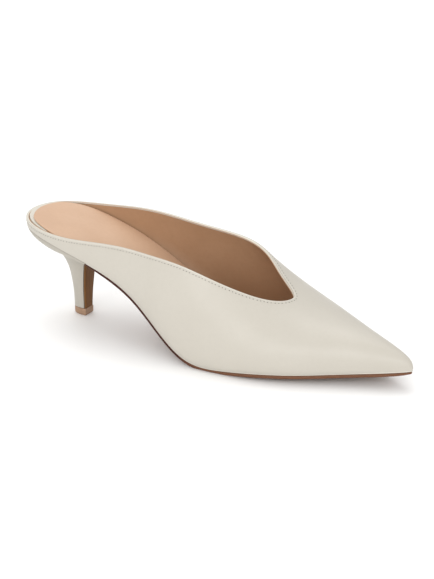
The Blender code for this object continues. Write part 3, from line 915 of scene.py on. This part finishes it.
def heel_rings(count, levels):
    """The seat ring of the heel, then rings down to the tip."""
    centre = HEEL_CENTRE * BALL_WIDTH
    back = SECTION["tuck_lateral"](0.0) * BALL_WIDTH
    spread = [math.sin(0.5 * math.pi * j / count) for j in range(count + 1)]
    seat_ring = {side: [] for side in SIDES}
    for side in SIDES:
        for share in spread:
            x = HEEL_FRONT * LENGTH + (back - HEEL_FRONT * LENGTH) * share
            y, z = feather_at(x, side)
            seat_ring[side].append((x + GAP * share, centre + (y - centre) * SEAT_FIT, z - GAP))
    rings = [seat_ring]
    low = TIP_HEIGHT + GAP
    for level in range(levels + 1):
        row = (len(HEEL) - 1) * level / levels
        values = {name: HEEL_CURVE[name](row) for name in HEEL_NAMES}
        values["round"] = min(max(values["round"], 0.0), 1.0)
        half = values["half"] * BALL_WIDTH
        scale = half / (HEEL[0][4] * BALL_WIDTH)
        sag = values["sag"] * SEAT_HEIGHT
        front_z = max(values["front_z"] * SEAT_HEIGHT, low)
        back_z = max(values["back_z"] * SEAT_HEIGHT, low)
        ring = {side: [] for side in SIDES}
        for side in SIDES:
            sign = -1.0 if side == "lateral" else 1.0
            for j, share in enumerate(spread):
                x = (values["front_x"] + (values["back_x"] - values["front_x"]) * share) * LENGTH
                hang = sag * math.sin(math.pi * share)
                z = max(front_z + (back_z - front_z) * share - hang, low)
                own = (seat_ring[side][j][1] - centre) * scale
                rise = math.sin(0.5 * math.pi * min(share / D_RISE, 1.0))
                bow = math.sqrt(max(1 - share ** D_POWER, 0.0))
                bow *= values["front"] + (1 - values["front"]) * rise
                y = centre + (1 - values["round"]) * own + values["round"] * sign * half * bow
                ring[side].append((x, y, z))
        rings.append(ring)
        if front_z <= low and back_z <= low:
            break
    return rings


def build_heel(levels):
    """The covered block from the seat down to the tip; its darker cover colour is painted shade."""
    skin = Skin()
    rings = []
    for ring in levels:
        points = ring["lateral"] + list(reversed(ring["medial"]))[1:]
        rings.append([skin.vertex(placed(co)) for co in points])
    skin.grid(rings, closed=True)
    for ring in (rings[0], rings[-1]):
        half = len(ring) // 2
        skin.strip(ring[:half + 1], list(reversed(ring[half:])))
    bmesh.ops.recalc_face_normals(skin.mesh, faces=skin.mesh.faces[:])
    return new_object("heel_cover", skin.mesh, [SHADED_HEEL_COVER], sharp=40)


def sole_cut(x, z, nx, nz, edges, thick, flat=True):
    """One cut through the outsole, from its lateral upper edge round to the medial one."""
    lateral, medial = edges
    lateral_side = []
    medial_side = []
    step = min(1.0, 0.25 * (medial - lateral) / EDGE_ROOM)
    for inset, depth in SOLE_EDGE_SECTION:
        px = x + nx * thick * depth
        pz = z + nz * thick * depth
        if flat:
            pz = max(pz, (1 - depth) * z)
        lateral_side.append((px, lateral + inset * step, pz))
        medial_side.append((px, medial - inset * step, pz))
    return lateral_side + list(reversed(medial_side))


def build_outsole(levels):
    """Under the upper, then under the heel's lip and down its breast."""
    cuts = []
    for u in reversed(stations(SOLE_START, 1.0, EDGE_STATIONS, close_start=False)):
        x, lateral = feather(u, "lateral")
        medial = feather(u, "medial")[1]
        before = seat(max(u - SLOPE_STEP, 0.0))
        after = seat(min(u + SLOPE_STEP, 1.0))
        slope = (after - before) / ((2 if u < 1 - SLOPE_STEP else 1) * SLOPE_STEP * LENGTH)
        size = math.hypot(1.0, slope)
        inset = SOLE_INSET * breadth(u)
        toe = 1 - opens((1 - u) * LENGTH, TOE_TAPER)
        join = (1 - SOLE_JOIN) * math.exp(-(u - SOLE_START) * LENGTH / JOIN_FADE)
        thick = SOLE * (1 - TOE_THIN * toe) * (1 - join)
        z = seat(u) - GAP
        edges = (lateral + inset, medial - inset)
        cuts.append(sole_cut(x, z, slope / size, -1 / size, edges, thick))
    joint = len(cuts)
    fronts = [(ring["lateral"][0], ring["medial"][0]) for ring in levels[1:]]
    path = [(pair[0][0], pair[0][2]) for pair in fronts]
    bottom = TIP_HEIGHT + GAP
    for i, (lateral, medial) in enumerate(fronts):
        ahead = path[max(i - 1, 0)]
        behind = path[min(i + 1, len(path) - 1)]
        tx = behind[0] - ahead[0]
        tz = behind[1] - ahead[1]
        size = math.hypot(tx, tz)
        nx = -tz / size
        nz = tx / size
        if i == len(fronts) - 1:
            nx, nz = 1.0, 0.0
        x = path[i][0] + nx * GAP
        z = path[i][1] + nz * GAP
        blend = max(1 - (len(HEEL) - 1) * i / (len(fronts) - 1) / LIP_FADE, 0.0)
        thick = FLAP + (SOLE * SOLE_JOIN - FLAP) * blend
        inset = GAP + LIP_INSET * blend
        edges = (lateral[1] + inset, medial[1] - inset)
        cuts.append(sole_cut(x, max(z, bottom), nx, nz, edges, thick, flat=False))
    skin = Skin()
    rings = [[skin.vertex(placed(co)) for co in cut] for cut in cuts]
    skin.grid(rings, closed=True)
    skin.face(rings[-1])
    bmesh.ops.recalc_face_normals(skin.mesh, faces=skin.mesh.faces[:])
    place = {}
    for i, ring in enumerate(rings):
        for k, vert in enumerate(ring):
            place[vert] = (i, k)
    materials = [SOLE_EDGE, SOLE_FACE, BREAST_FACE]
    breast = materials.index(BREAST_FACE)
    under = len(SOLE_EDGE_SECTION)
    lip_end = joint + LIP_ROWS * (len(levels) - 1) / (len(HEEL) - 1)
    for face in skin.mesh.faces:
        cuts_met = [place[vert][0] for vert in face.verts]
        rows_met = [place[vert][1] for vert in face.verts]
        if min(cuts_met) >= lip_end:
            face.material_index = breast
        elif min(rows_met) >= under - 1 and max(rows_met) <= under:
            on_breast = min(cuts_met) >= joint
            face.material_index = breast if on_breast else materials.index(SOLE_FACE)
    return new_object("outsole_leather", skin.mesh, materials, sharp=50)


def build_top_piece(levels):
    """The heel's D, carried down to the floor with a rounded lower edge."""
    ring = levels[-1]
    front = ring["lateral"][0][0]
    reach = GAP + FLAP
    outline = ring["lateral"] + list(reversed(ring["medial"]))[1:]
    xs = [p[0] for p in outline]
    middle_x = 0.5 * (min(xs) + max(xs) + reach)
    centre = HEEL_CENTRE * BALL_WIDTH
    skin = Skin()
    rings = []
    for inset, z in TIP_SECTION:
        points = []
        for x, y, _ in outline:
            x = x + reach * max(0.0, 1 - (front - x) / TIP_BLEND)
            dx = x - middle_x
            dy = y - centre
            shrink = 1 - inset / math.hypot(dx, dy)
            points.append((middle_x + dx * shrink, centre + dy * shrink, z))
        rings.append([skin.vertex(placed(co)) for co in points])
    skin.grid(rings, closed=True)
    skin.face(rings[0])
    skin.face(rings[-1])
    bmesh.ops.recalc_face_normals(skin.mesh, faces=skin.mesh.faces[:])
    return new_object("heel_tip", skin.mesh, [TIP], sharp=40)


def dress(piece, node):
    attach(piece, "root")
    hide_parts(node)


(points, normals, downs), surface_tree, perimeter = collar_line()
frames = collar_frames(points, normals, downs)
dress(layer("upper_leather", WHITE, 0.0, OUTER_LEATHER), "upper")
dress(layer("upper_lining", LINING, LINING_START, WALL), "upper")
dress(build_fold(frames, surface_tree), "upper")
places = stitch_places(frames, surface_tree, perimeter)
dress(build_stitches(places), "upper")
dress(build_holes(places), "upper")
dress(build_bead(), "upper")
insole_piece, insole_top = build_insole()
dress(insole_piece, "insole")
dress(build_sock(insole_top), "sock")
heel_levels = heel_rings(HEEL_SPREAD, HEEL_LEVELS)
dress(build_heel(heel_levels), "heel")
dress(build_heel_seam(), "heel")
dress(build_outsole(heel_levels), "outsole")
dress(build_top_piece(heel_levels), "top_piece")

floor_mesh = bmesh.new()
bmesh.ops.create_grid(floor_mesh, x_segments=2, y_segments=2, size=FLOOR_HALF)
for vert in floor_mesh.verts:
    vert.co.z = -FLOOR_DROP
floor_nodes = Nodes("pale_floor")
floor_cloud = floor_nodes.noise(3.0, 2.0)
floor_colour = floor_nodes.mixed(floor_cloud, FLOOR_LOW, FLOOR_HIGH)
floor_nodes.link(floor_colour, floor_nodes.shader.inputs["Base Color"])
floor_nodes.shader.inputs["Roughness"].default_value = 0.6
new_object("floor", floor_mesh, [floor_nodes.material])

world = bpy.data.worlds.new("studio")
world.use_nodes = True
background = world.node_tree.nodes["Background"]
background.inputs["Color"].default_value = WORLD_COLOUR
background.inputs["Strength"].default_value = WORLD_STRENGTH
bpy.context.scene.world = world

for name, place, size, power in LIGHTS:
    lamp = bpy.data.lights.new(name, "AREA")
    lamp.shape = "RECTANGLE"
    lamp.size, lamp.size_y = size
    lamp.energy = power
    lamp_object = bpy.data.objects.new(name, lamp)
    lamp_object.location = place
    towards = Vector(LIGHT_AIM) - Vector(place)
    lamp_object.rotation_euler = towards.to_track_quat("-Z", "Y").to_euler()
    bpy.context.collection.objects.link(lamp_object)

bpy.context.scene.view_settings.view_transform = "Standard"

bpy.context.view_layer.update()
